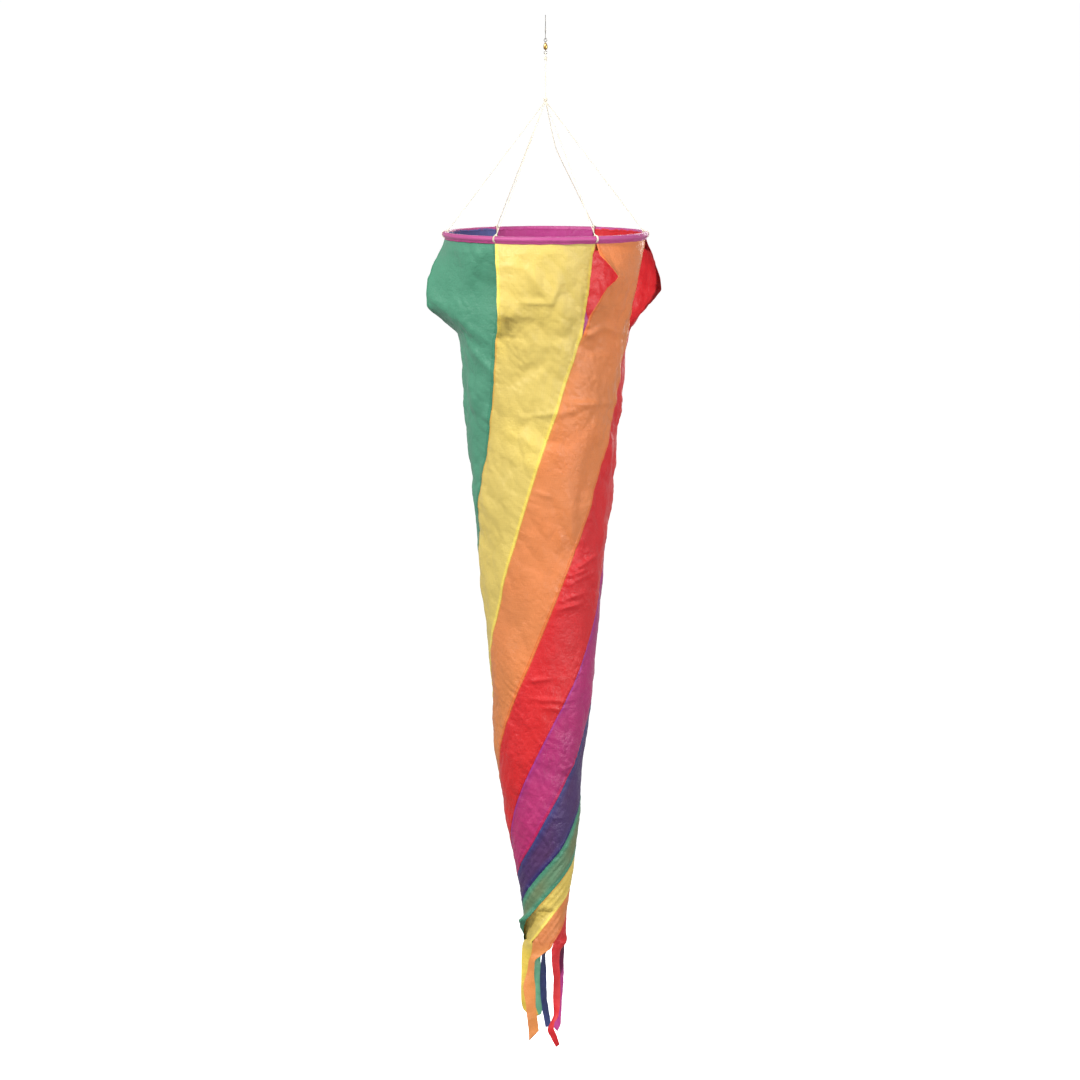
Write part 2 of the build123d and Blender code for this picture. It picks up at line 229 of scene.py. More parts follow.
def closed_sheet(points, normals, thickness, wrap_rows=False):
    """Points and faces of a sheet with two sides and a rim. Rows run along, columns across."""
    rows, columns = points.shape[:2]
    half = normals * (thickness / 2)
    both = np.concatenate([(points + half).reshape(-1, 3), (points - half).reshape(-1, 3)])
    front = grid_faces(rows, columns, wrap_rows)
    n = rows * columns
    rims = []
    edges = [np.arange(rows) * columns, np.arange(rows) * columns + columns - 1]
    if not wrap_rows:
        edges += [np.arange(columns), (rows - 1) * columns + np.arange(columns)]
    for k, edge in enumerate(edges):
        following = np.roll(edge, -1) if wrap_rows else edge[1:]
        edge = edge if wrap_rows else edge[:-1]
        rim = np.stack([edge, following, following + n, edge + n], axis=-1)
        rims.append(rim[:, ::-1] if k in (0, 3) else rim)
    return both, np.concatenate([front, front[:, ::-1] + n] + rims)


TUBE_SIDES = 10


def tube(path, radius, closed):
    """Points, faces and ring count of a round tube along a path. Its ends narrow to small rings."""
    path = np.asarray(path, float)
    n = len(path)
    after, before = np.roll(path, -1, 0), np.roll(path, 1, 0)
    if not closed:
        after[-1], before[0] = 2 * path[-1] - path[-2], 2 * path[0] - path[1]
    along = unit(after - before)
    side = np.cross(along[0], (0.0, 0.0, 1.0))
    if np.linalg.norm(side) < 0.2:
        side = np.cross(along[0], (0.0, 1.0, 0.0))
    u = np.zeros(path.shape)
    for k, direction in enumerate(along):
        side = unit(side - direction * np.dot(side, direction))
        u[k] = side
    v = np.cross(along, u)
    if closed:  # spread the turn that is left over along the loop
        end = unit(u[-1] - along[0] * np.dot(u[-1], along[0]))
        left = math.atan2(np.dot(end, v[0]), np.dot(end, u[0]))
        turn = (-left * np.arange(n) / n)[:, None]
        u, v = u * np.cos(turn) + v * np.sin(turn), v * np.cos(turn) - u * np.sin(turn)
    a = np.linspace(0, 2 * np.pi, TUBE_SIDES, endpoint=False)[None, :, None]
    rings = path[:, None] + radius * (u[:, None] * np.cos(a) + v[:, None] * np.sin(a))
    if not closed:
        caps = []
        for end, way in ((0, -along[0]), (-1, along[-1])):
            tip = path[end] + way * radius * 0.4
            caps.append((tip + (rings[end] - tip) * 0.05)[None])
        rings = np.concatenate([caps[0], rings, caps[1]])
    return rings.reshape(-1, 3), grid_faces(len(rings), TUBE_SIDES, closed, True), len(rings)


def tube_piece(name, paths):
    """One mesh object of several tubes: (path, radius, closed) each."""
    points, faces, start = [], [], 0
    for path, radius, closed in paths:
        p, f, rings = tube(path, radius, closed)
        points.append(p)
        faces.append(f + start)
        if not closed:  # quads fill the two small end rings
            for first in (start, start + (rings - 1) * TUBE_SIDES):
                ring = first + np.arange(TUBE_SIDES)
                for k in range(TUBE_SIDES // 2 - 1):
                    quad = [ring[k], ring[k + 1], ring[-2 - k], ring[-1 - k]]
                    faces.append(np.array([quad if first == start else quad[::-1]]))
        start += len(p)
    return add_mesh(name, np.concatenate(points), np.concatenate(faces))


# ---- materials ----
def srgb(red, green, blue):
    """Linear colour of an 8-bit sRGB one."""
    c = np.array([red, green, blue], float) / 255.0
    c = np.where(c <= 0.04045, c / 12.92, ((c + 0.055) / 1.055) ** 2.4)
    return (*[float(x) for x in c], 1.0)


class Nodes:
    """Adds nodes to a material or world with short calls. Its base holds the shader's sockets."""

    def __init__(self, owner, base="Principled BSDF"):
        owner.use_nodes = True
        self.owner, self.tree = owner, owner.node_tree
        self.base = self.tree.nodes[base]

    def put(self, value, socket):
        if isinstance(value, bpy.types.NodeSocket):
            self.tree.links.new(value, socket)
        else:
            socket.default_value = value

    def add(self, kind, inputs=(), **settings):
        made = self.tree.nodes.new("ShaderNode" + kind)
        for key, value in settings.items():
            setattr(made, key, value)
        for key, value in dict(inputs).items():
            self.put(value, made.inputs[key])
        return made

    def place(self):
        return self.add("TexCoord").outputs["Object"]

    def math(self, operation, a, b=0.0, c=0.0):
        return self.add("Math", {0: a, 1: b, 2: c}, operation=operation).outputs[0]

    def times(self, a, b):
        return self.math("MULTIPLY", a, b)

    def plus(self, a, b):
        return self.math("ADD", a, b)

    def off(self, a, b):
        return self.math("ABSOLUTE", self.math("SUBTRACT", a, b))

    def wave(self, value, pitch):
        return self.math("PINGPONG", self.math("DIVIDE", value, pitch), 0.5)

    def step(self, value, low, high, clamp_to=(0.0, 1.0)):
        inputs = {"Value": value, "From Min": low, "From Max": high}
        inputs.update({"To Min": clamp_to[0], "To Max": clamp_to[1]})
        return self.add("MapRange", inputs, interpolation_type="SMOOTHSTEP").outputs[0]

    def noise(self, scale, detail=2.0, vector=None, roughness=0.5):
        inputs = {"Scale": scale, "Detail": detail, "Roughness": roughness}
        inputs["Vector"] = self.place() if vector is None else vector
        return self.add("TexNoise", inputs).outputs["Fac"]

    def mix(self, factor, a, b, blend="MIX"):
        made = self.add("Mix", data_type="RGBA", blend_type=blend)
        self.put(factor, made.inputs[0])
        self.put(a, made.inputs[6])
        self.put(b, made.inputs[7])
        return made.outputs[2]

    def attribute(self, name, output="Fac"):
        return self.add("Attribute", attribute_name=name).outputs[output]

    def bump(self, height, distance, strength):
        inputs = {"Height": height, "Distance": distance, "Strength": strength}
        return self.add("Bump", inputs).outputs["Normal"]

    def set(self, **values):
        names = {"colour": "Base Color", "roughness": "Roughness", "metallic": "Metallic",
                 "normal": "Normal", "sheen": "Sheen Weight", "specular": "Specular IOR Level",
                 "sheen_roughness": "Sheen Roughness", "coat": "Coat Weight"}
        for key, value in values.items():
            self.put(value, self.base.inputs[names[key]])


# all in millimetres of cloth
RIPSTOP_PITCH, WEAVE_RATE = 3.6, 18.0
STITCH_ROWS, HEM_STITCH_ROW, STITCH_PITCH = (0.9, 4.1), 3.6, 2.9
THREAD_FADE = (0.42, 0.22)  # from a thread's middle to its edge
CLOTH_RELIEF = 0.00022  # metres


def cloth_material(name, colour, left_colour, band_colour, painted_show_through_colour, single_layer_dye_and_light,
                   see_through=0.28):
    """Ripstop nylon: fine weave, a raised grid of thicker threads, folded bands with stitching."""
    m = Nodes(bpy.data.materials.new(name))
    where = m.attribute("cloth_mm", "Vector")
    parts = m.add("SeparateXYZ", {0: where})
    across, along, to_right = parts.outputs
    band = m.attribute("band")
    both_ways = (across, along)
    ribs = [m.step(m.wave(way, RIPSTOP_PITCH), 0.085, 0.045) for way in both_ways]
    grid = m.math("MAXIMUM", *ribs)
    weave = m.times(*[m.math("SINE", m.times(way, WEAVE_RATE)) for way in both_ways])
    # tone: large clouds, small blotches, and the grid a little darker
    cloud = m.noise(7.0, 3.0)
    blotch = m.noise(42.0, 2.0)
    tone = m.step(cloud, 0.32, 0.7, (0.93, 1.06))
    tone = m.times(tone, m.step(blotch, 0.35, 0.65, (0.975, 1.02)))
    tone = m.times(tone, m.step(grid, 0.0, 1.0, (1.0, 0.95)))
    faded = tuple(0.55 * a + 0.45 * b for a, b in zip(colour, band_colour))
    hue = m.mix(m.step(cloud, 0.4, 0.75), colour, faded)
    # painted light: above 0 the layer attribute mixes in a painted tint of the layers behind
    # shining through; below 0 it mixes in the single-layer colour, partly the ribbons' own dye and
    # partly made lighter as painted light
    layers = m.attribute("layers")
    hue = m.mix(m.times(m.math("MAXIMUM", layers, 0.0), 0.75), hue, painted_show_through_colour)
    hue = m.mix(m.math("MAXIMUM", m.times(layers, -1.0), 0.0), hue, single_layer_dye_and_light)
    hue = m.mix(m.attribute("left_band"), hue, left_colour)
    hue = m.mix(band, hue, band_colour)
    scaled = m.add("VectorMath", {0: hue, "Scale": tone}, operation="SCALE").outputs[0]
    # two rows of lockstitch along a seam, one along a hem
    rows = [m.step(m.off(to_right, line), *THREAD_FADE) for line in STITCH_ROWS]
    dash = m.step(m.wave(along, STITCH_PITCH), 0.13, 0.19)
    thread = m.times(m.math("MAXIMUM", *rows), dash)
    hem_off = m.off(m.attribute("hem_mm"), HEM_STITCH_ROW)
    hem_row = m.times(m.step(hem_off, *THREAD_FADE), dash)
    thread = m.math("MAXIMUM", m.times(thread, m.step(band, 0.1, 0.4)), hem_row)
    thread_colour = tuple(0.72 * c for c in band_colour[:3]) + (1.0,)
    final = m.mix(thread, scaled, thread_colour)
    # relief: grid, weave, crinkle, sharp creases and thread
    crinkle = m.noise(330.0, 3.0, roughness=0.6)
    creases = m.off(m.noise(88.0, 3.0, roughness=0.55), 0.5)
    creases = m.times(m.math("SQRT", creases), m.step(cloud, 0.3, 0.6, (2.0, 5.4)))
    height = m.plus(m.times(grid, 0.30), m.times(weave, 0.10))
    height = m.plus(height, m.times(crinkle, 0.55))
    height = m.plus(height, creases)
    height = m.plus(height, m.times(thread, 1.1))
    normal = m.bump(height, CLOTH_RELIEF, 0.8)
    m.set(colour=final, normal=normal, specular=0.38, sheen=0.06, sheen_roughness=0.4)
    m.set(roughness=m.step(blotch, 0.3, 0.7, (0.4, 0.52)))
    shine_through = m.add("BsdfTranslucent", {"Color": final, "Normal": normal})
    share = m.step(band, 0.0, 1.0, (see_through, see_through * 0.55))
    mixed = m.add("MixShader", {0: share, 1: m.base.outputs[0], 2: shine_through.outputs[0]})
    m.put(mixed.outputs[0], m.tree.nodes["Material Output"].inputs["Surface"])
    return m.owner


def cord_material(name, light, dark):
    """A braided cord: crossing strands in relief, painted shade in the grooves between them, and
    grubby patches.
    """
    m = Nodes(bpy.data.materials.new(name))
    place = m.place()
    bands = []
    for tilt in (38.0, -38.0):
        turned = m.add("Mapping", {"Vector": place, "Rotation": (0.3, math.radians(tilt), 0.2)})
        wave = m.add("TexWave", {"Vector": turned.outputs[0], "Scale": 620.0, "Distortion": 1.2,
                                 "Detail": 1.0}, wave_type="BANDS", bands_direction="Z")
        bands.append(wave.outputs["Fac"])
    braid = m.times(*bands)
    fuzz = m.noise(2600.0, 2.0, place)
    # painted shade: the grooves between the strands take the dark colour
    colour = m.mix(m.step(braid, 0.0, 0.55), dark, light)
    colour = m.mix(m.step(m.noise(60.0, 2.0, place), 0.45, 0.8), colour, dark)
    height = m.plus(braid, m.times(fuzz, 0.3))
    m.set(colour=colour, roughness=m.step(fuzz, 0.3, 0.7, (0.72, 0.9)), specular=0.25,
          normal=m.bump(height, 0.00015, 0.9), sheen=0.3)
    return m.owner


def metal_material(name, bright, dull, rough, grime_scale):
    """Drawn or turned metal: fine drawing lines, tarnish in patches."""
    m = Nodes(bpy.data.materials.new(name))
    bright, dull = srgb(*bright), srgb(*dull)
    place = m.place()
    stretched = m.add("Mapping", {"Vector": place, "Scale": (1.0, 1.0, 0.08)})
    lines = m.noise(5200.0, 3.0, stretched.outputs[0])
    patches = m.noise(grime_scale, 4.0, place, 0.6)
    colour = m.mix(m.step(patches, 0.42, 0.68), bright, dull)
    colour = m.mix(m.step(lines, 0.5, 0.85, (0.0, 0.35)), colour, dull)
    m.set(colour=colour, metallic=1.0, normal=m.bump(lines, 0.00003, 0.5))
    m.set(roughness=m.step(patches, 0.3, 0.75, (rough, rough + 0.22)))
    return m.owner


def glossy_rod_material(name, light, dark):
    """Pultruded fibreglass: long glass fibres in clear resin."""
    m = Nodes(bpy.data.materials.new(name))
    place = m.place()
    fibres = m.noise(900.0, 4.0, place, 0.7)
    colour = m.mix(m.step(fibres, 0.35, 0.7), light, dark)
    m.set(colour=colour, roughness=m.step(fibres, 0.3, 0.7, (0.3, 0.45)), coat=0.4,
          normal=m.bump(fibres, 0.00005, 0.4))
    return m.owner


STUDIO_GAIN = 0.71  # how much darker a dye is than it looks under the studio's light


def dyed(red, green, blue):
    """Linear colour of cloth that looks like this sRGB colour under the studio's light."""
    return (*[x * STUDIO_GAIN for x in srgb(red, green, blue)[:3]], 1.0)


# each panel's cloth, its folded bands at the left and right edge, a painted tint of the layers
# behind shining through, and its single-layer colour: the ribbon's own dye made lighter as painted
# light
PALETTE = {
    "green": [(91, 164, 132), (76, 150, 120), (68, 144, 112), (130, 126, 78), (122, 205, 164)],
    "yellow": [(237, 211, 114), (237, 186, 82), (249, 222, 99), (227, 197, 89), (245, 215, 89)],
    "orange": [(238, 146, 86), (236, 148, 77), (232, 124, 59), (226, 144, 72), (242, 156, 84)],
    "red": [(227, 41, 47), (227, 50, 42), (213, 19, 31), (227, 42, 40), (237, 44, 52)],
    "purple": [(180, 49, 124), (174, 56, 154), (190, 21, 91), (204, 56, 120), (206, 71, 156)],
    "blue": [(80, 64, 124), (58, 71, 133), (43, 35, 103), (93, 51, 99), (104, 118, 192)],
}
cloth_finish = {
    name: cloth_material(f"nylon_{name}", *[dyed(*colour) for colour in PALETTE[name]])
    for name in COLOURS
}
binding, binding_fold = dyed(198, 86, 150), dyed(190, 62, 132)
hem_finish = cloth_material("nylon_binding", binding, *[binding_fold] * 4, see_through=0.2)
cord_finish = cord_material("braided_cord", srgb(238, 231, 214), srgb(192, 181, 158))
# bright and tarnished colour, roughness, and how fine the patches are
METALS = {
    "snap_wire": ((120, 116, 110), (62, 58, 54), 0.28, 900.0),
    "snap_plate": ((150, 146, 138), (84, 80, 74), 0.3, 900.0),
    "swivel_eye": ((140, 134, 124), (74, 68, 60), 0.28, 900.0),
    "swivel_brass": ((196, 160, 92), (120, 88, 44), 0.26, 600.0),
    "swivel_ball": ((190, 190, 188), (130, 130, 128), 0.12, 900.0),
    "ferrule": ((180, 180, 176), (120, 120, 118), 0.3, 300.0),
}
finishes = {name: metal_material(name, *row) for name, row in METALS.items()}
finishes["hoop_rod"] = glossy_rod_material("fibreglass", srgb(222, 222, 206), srgb(180, 182, 160))


def paint(piece, material):
    piece.data.materials.clear()
    piece.data.materials.append(material)


def finish_piece(piece, material, slot, *nodes):
    """Gives a piece that rides the sock its material and hides the CAD nodes it replaces; the slot
    argument is not used.
    """
    paint(piece, material)
    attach(piece, "sock")
    if nodes:
        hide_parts(*nodes)


# ---- cords: the bridle's six lines and the leader ----
def add_cord(name, points):
    """A round cord along a smooth curve through points in millimetres."""
    curve = bpy.data.curves.new(name, "CURVE")
    curve.dimensions = "3D"
    spline = curve.splines.new("NURBS")
    spline.points.add(len(points) - 1)
    for control, point in zip(spline.points, points):
        control.co = (*[x * MM for x in point], 1.0)
    spline.order_u = 3
    spline.use_endpoint_u = True
    curve.resolution_u = 12
    curve.bevel_depth = CORD_D * MM / 2
    curve.bevel_resolution = 4
    curve.use_fill_caps = True
    piece = put_in_scene(name, curve)
    finish_piece(piece, cord_finish, "cord")
    return piece


# each line: where it is tied round the hoop and its hitch's lean, both in degrees, then the
# way, length and droop of the hitch's cut end
LINES = {
    "left": (180.0, 4.0, (-0.5, 0.3, -0.1), 5.0, 3.0),
    "front_left": (240.0, -3.0, (0.2, -0.9, 0.1), 3.0, 2.0),
    "front_right": (300.0, 5.0, (0.4, -0.8, 0.2), 3.2, 1.6),
    "right": (0.0, -4.0, (0.6, 0.2, -0.2), 5.0, 3.2),
    "back_right": (60.0, 3.0, (0.3, -0.6, -0.4), 4.0, 3.0),
    "back_left": (120.0, -5.0, (0.1, -0.8, -0.5), 5.0, 4.0),
}
SLACK_BEND = Vector((14.3, 34.0, -194.0))  # where the back right line bends
HITCH_R = SLEEVE_R + 0.75  # of the cord turned round the hem, to its middle
KNOT_RISE = SLEEVE_R + 3.0  # from the rod's middle to the knot above it
FROM_APEX, STRAIGHT_END = 3.2, 7.5  # a line starts this far below the apex, and is straight so far
apex = Vector((0, 0, APEX_Z))
ties = {}
for line, (angle, *_) in LINES.items():
    tie = polar(HOOP_R, angle, HOOP_Z)
    bend = SLACK_BEND if line == "back_right" else None
    rise = ((bend or apex) - tie).normalized()
    down = ((bend or tie) - apex).normalized()
    first, last = apex + down * FROM_APEX, tie + rise * KNOT_RISE
    ties[line] = (tie, rise, last)
    run = [first, first + down * STRAIGHT_END]
    if bend:
        run += [bend - down * 22.0, bend + Vector((0.6, 0.8, -1.0)), bend - rise * 26.0]
    run += [last + rise * STRAIGHT_END, last]
    add_cord(f"line_{line}", run)

# the leader goes up one leg, through the swivel's lower eye and down the other: (half gap, z)
LEADER_FOOT, PIVOT_Z = APEX_Z + 4.4, -55.7
LEADER_LEG = [(0.75, LEADER_FOOT), (0.75, -112.5), (0.72, -70.0), (0.8, -63.5),
              (1.3, -58.0), (1.3, PIVOT_Z + 1.25)]
leader_run = [(0, -gap, z) for gap, z in LEADER_LEG] + [(0, gap, z) for gap, z in LEADER_LEG[::-1]]
leader = add_cord("leader", leader_run)
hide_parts("leader_loop")


# ---- knots ----
def knot_path(centre, axis, toward, size, stretch, turns=(2, 3), count=110):
    """A closed torus-knot path round axis: the turns of a pulled-tight knot."""
    axis, toward = np.array(axis, float), np.array(toward, float)
    u = unit(toward - axis * np.dot(axis, toward))
    v = np.cross(axis, u)
    t = np.linspace(0, 2 * np.pi, count, endpoint=False)
    p, q = turns
    ring = size * (1.0 + 0.52 * np.cos(q * t))
    flat = ring[:, None] * (u * np.cos(p * t)[:, None] + v * np.sin(p * t)[:, None])
    lift = size * 0.62 * stretch * np.sin(q * t)
    return np.array(centre) + flat + axis * lift[:, None]


def loose_end(start, direction, length, droop):
    """A short cut end of cord that bends down."""
    t = np.linspace(0, 1, 12)[:, None]
    direction = np.array(direction)
    side = np.cross(direction, (0, 0, 1.0))
    path = np.array(start) + direction * length * t
    return path + np.array((0, 0, -1.0)) * droop * t**2 + side * 0.5 * np.sin(3 * t)


TIED_R = 0.46 * CORD_D  # cord pulled tight is a little thinner
for line, (angle, lean, *cut_end) in LINES.items():
    tie, rise, last = ties[line]
    tangent = np.array(polar(1.0, angle + 90.0))
    out = np.cross(tangent, np.array(rise))
    t = np.linspace(0.0, 2 * np.pi, 64)
    slant = 1.6 * math.sin(math.radians(lean))
    turns = []
    for offset, bulge in ((-0.62, 0.0), (0.62, 0.12)):
        ring = (HITCH_R + 0.35 * np.cos(t) ** 4 + bulge)[:, None]
        loop = ring * (np.array(rise) * np.cos(t)[:, None] + out * np.sin(t)[:, None])
        shift = offset * (1 - 0.35 * np.cos(t)) + slant * np.cos(t)
        loop = loop + tangent * shift[:, None]
        turns.append((np.array(tie) + loop[:-1], TIED_R, True))
    knot = knot_path(last - rise * 0.6, rise, tangent, 0.98, 1.25)
    tail = loose_end(last + rise * 0.3, *cut_end)
    tied = turns + [(knot, TIED_R, True), (tail, CORD_D * 0.44, False)]
    hitch = tube_piece(f"hitch_{line}", tied)
    finish_piece(hitch, cord_finish, "cord", f"bridle_line_{line}")

bridle = tube_piece("bridle_knot_tied", [
    (knot_path((0, 0, APEX_Z + 0.9), (0, 0, 1), (1, 0, 0), 1.45, 2.6, (3, 4), 200), 0.62, True),
    (knot_path((0, 0, APEX_Z + 2.9), (0, 0, 1), (0, 1, 0), 0.95, 1.3, (2, 3)), 0.6, True),
    (loose_end((0.6, -0.8, APEX_Z + 3.6), (0.75, -0.5, 0.5), 4.0, 1.0), 0.55, False),
    (loose_end((-0.7, 0.4, APEX_Z + 3.2), (-0.8, 0.1, 0.45), 3.2, 1.6), 0.55, False),
])
leader_knot = tube_piece("leader_knot_tied", [
    (knot_path((0, 0, -61.8), (0, 0, 1), (1, 0, 0), 1.12, 2.4, (2, 5), 160), 0.58, True),
    (loose_end((0.5, 0.6, -63.4), (0.5, 0.3, -0.6), 3.0, 1.0), 0.52, False),
])
finish_piece(bridle, cord_finish, "cord", "bridle_knot")
finish_piece(leader_knot, cord_finish, "cord", "leader_knot")


# ---- the panels' shape ----
# a seam is straight on the flattened cloth: the sine of its slant is SEAM_CIRCLE over the
# sock's radius, and STEEPEST at most
SEAM_CIRCLE, STEEPEST = 29.0, 0.64
# at many depths: the sock's radius, a seam's turn in degrees and its length so far
fine_depth = np.linspace(0.0, FOOT, 2073)
fine_radius = smooth_table(RADII, fine_depth)
sine = np.minimum(SEAM_CIRCLE / fine_radius, STEEPEST)
rate = np.degrees(sine / np.sqrt(1 - sine**2) / fine_radius)
rate = np.where(fine_depth < JOIN, JOIN_TWIST / JOIN, rate)
spacing = fine_depth[1] - fine_depth[0]
fine_turn = np.concatenate([[0], np.cumsum((rate[1:] + rate[:-1]) / 2 * spacing)])
fine_turn = fine_turn + smooth_table(SLACK_TURN, fine_depth)
run = np.sqrt(
    spacing**2 + np.diff(fine_radius) ** 2
    + (np.radians(np.diff(fine_turn)) * (fine_radius[1:] + fine_radius[:-1]) / 2) ** 2)
fine_along = np.concatenate([[0], np.cumsum(run)])
SEAM_LENGTH = fine_along[-1]
ROW_MM = 2.3  # between rows of the grid
EDGE_MM = np.array([0, 0.6, 1.3, 2.1, 3.0, 4.0, 4.9, 5.6, 6.3, 7.2, 8.6])  # columns at an edge
MIDDLE = 44  # columns between the two edges


def across_shares(width):
    """Where the columns are, as shares of each row's width: close together near both edges."""
    scale = np.minimum(1.0, 0.36 * width / EDGE_MM[-1])[:, None]
    left = EDGE_MM[None] * scale
    inner = np.linspace(0, 1, MIDDLE + 2)[1:-1]
    middle = left[:, -1:] + (width[:, None] - 2 * left[:, -1:]) * inner[None]
    right = width[:, None] - left[:, ::-1]
    return np.concatenate([left, middle, right], axis=1) / width[:, None]


def bowed(left, right, length, shares):
    """Points along a circular arc from left to right in each row, bowed outwards."""
    along = unit(right - left)
    outward = np.stack([along[..., 1], -along[..., 0], np.zeros(len(along))], axis=-1)
    chord = np.linalg.norm(right - left, axis=-1)
    bow = np.sqrt(np.maximum(3 * chord * (length - chord) / 8, 0.02))
    radius = (chord**2 / 4 + bow**2) / (2 * bow)
    half = np.arcsin(np.clip(chord / 2 / radius, -1, 1))
    a = (2 * shares - 1) * half[:, None]
    mid = (left + right) / 2
    side = (radius[:, None] * np.sin(a))[..., None] * along[:, None]
    out = (radius[:, None] * np.cos(a) - (radius - bow)[:, None])[..., None]
    return mid[:, None] + side + out * outward[:, None]


def around(radius, degrees, z):
    """Points at these radii, angles and heights round the sock's axis."""
    a = np.radians(degrees)
    return np.stack(np.broadcast_arrays(radius * np.cos(a), radius * np.sin(a), z), axis=-1)


# each ribbon below the foot: rows of its left and then its right edge point, millimetres
RIBBONS = {
    "orange": [
        (-19.5, -25.5, -1364, 8.0, -28.5, -1363), (-21.0, -25.0, -1372, -4.5, -30.5, -1372),
        (-23.8, -23.0, -1382, -15.6, -33.0, -1381.5), (-27.5, -26.0, -1400, -16.6, -33.0, -1402),
        (-32.3, -29.5, -1420, -14.6, -31.0, -1421), (-28.6, -33.0, -1446, -14.6, -29.0, -1443),
        (-26.8, -32.0, -1468, -12.2, -28.0, -1463), (-24.4, -30.0, -1487, -10.3, -28.0, -1479),
        (-24.1, -29.0, -1500, -9.6, -28.0, -1485),
    ],
    "yellow": [
        (-33.6, -1.0, -1362, -16.0, -23.0, -1366), (-35.0, -7.0, -1378, -19.5, -20.0, -1382),
        (-35.4, -11.0, -1400, -21.0, -17.0, -1402), (-36.0, -13.0, -1424, -20.0, -16.0, -1424),
        (-35.8, -14.0, -1440, -19.0, -14.0, -1442), (-33.0, -13.0, -1454, -13.5, -12.0, -1454),
        (-29.0, -13.0, -1459, -9.4, -10.0, -1465),
    ],
    "red": [
        (8.8, -29.5, -1367, 21.4, -13.0, -1370), (9.6, -30.5, -1387, 20.6, -20.0, -1390),
        (11.8, -30.5, -1405, 22.0, -20.0, -1409), (11.0, -27.0, -1436, 21.3, -23.0, -1444),
        (12.0, -24.5, -1461, 18.5, -29.5, -1464), (6.8, -25.0, -1474, 12.8, -31.5, -1473),
        (3.2, -27.0, -1483, 12.2, -32.5, -1479), (9.2, -28.0, -1497, 17.0, -33.0, -1492),
        (15.4, -28.0, -1509, 20.5, -32.5, -1504.4),
    ],
    "purple": [
        (27.4, -3.5, -1366, 18.5, 13.0, -1372), (26.9, -6.0, -1388, 18.5, 7.0, -1392),
        (26.6, -8.0, -1410, 17.0, 4.0, -1412), (24.6, -8.0, -1440, 15.5, 3.0, -1440),
        (23.2, -6.5, -1464, 12.5, 1.5, -1464), (22.6, -5.5, -1477, 11.5, -1.0, -1474),
        (17.5, -5.0, -1489, 11.0, -3.0, -1482),
    ],
    "blue": [
        (6.0, 23.0, -1368, -8.5, 27.5, -1365), (-0.3, 18.0, -1380, -5.2, 29.0, -1380),
        (1.2, 18.5, -1400, -8.2, 26.0, -1400), (1.7, 18.0, -1420, -9.0, 24.0, -1420),
        (2.4, 17.0, -1440, -7.8, 23.0, -1440), (4.8, 15.5, -1459, -5.6, 22.0, -1458),
        (6.6, 15.0, -1470, -3.4, 20.0, -1467), (9.0, 15.0, -1484, 0.0, 18.5, -1486),
    ],
    "green": [
        (-9.0, 26.0, -1366, -22.5, 15.0, -1366), (-6.8, 23.0, -1380, -18.5, 16.0, -1382),
        (-7.6, 21.0, -1400, -19.0, 14.0, -1401), (-8.2, 19.0, -1418, -20.0, 13.0, -1419),
        (-7.0, 17.0, -1441, -19.0, 12.0, -1441), (-5.2, 16.0, -1461, -17.6, 11.0, -1461),
        (-6.0, 15.5, -1466, -17.0, 11.0, -1470),
    ],
}


def ribbon_rows(colour, left, right):
    """Edge points of the rows below the foot, smooth through RIBBONS' rows."""
    keys = np.array([(*left, *right)] + RIBBONS[colour], float)
    centre = (keys[:, :3] + keys[:, 3:]) / 2
    t = np.concatenate([[0], np.cumsum(np.linalg.norm(np.diff(centre, axis=0), axis=1))])
    count = int(t[-1] / ROW_MM) + 1
    at = np.linspace(0, t[-1], count + 1)[1:]
    edges = np.stack([smooth_table(np.stack([t, column], 1), at) for column in keys.T], axis=1)
    return edges[:, :3], edges[:, 3:], at


# how far from the hoop each panel's right seam ends, and how far its loose corner stands off
SEAM_ENDS = {
    "green": (994.0, 8.5), "yellow": (1026.0, 1.5), "orange": (1034.0, 0.8),
    "red": (1028.0, 2.0), "purple": (1022.0, 2.5), "blue": (1018.0, 2.5),
}
# how far the right edge hangs over the next panel inside the vent, degrees
OVERLAPS = {"red": 7.0, "green": 2.0, "blue": 2.0}
# how far the left edge lies under the panel before it at the foot, degrees
LEFT_LAPS = {"yellow": 14.0}
VENT_LIFT_TURN = 32.0  # direction of a vent's lift: degrees from radial, towards its panel
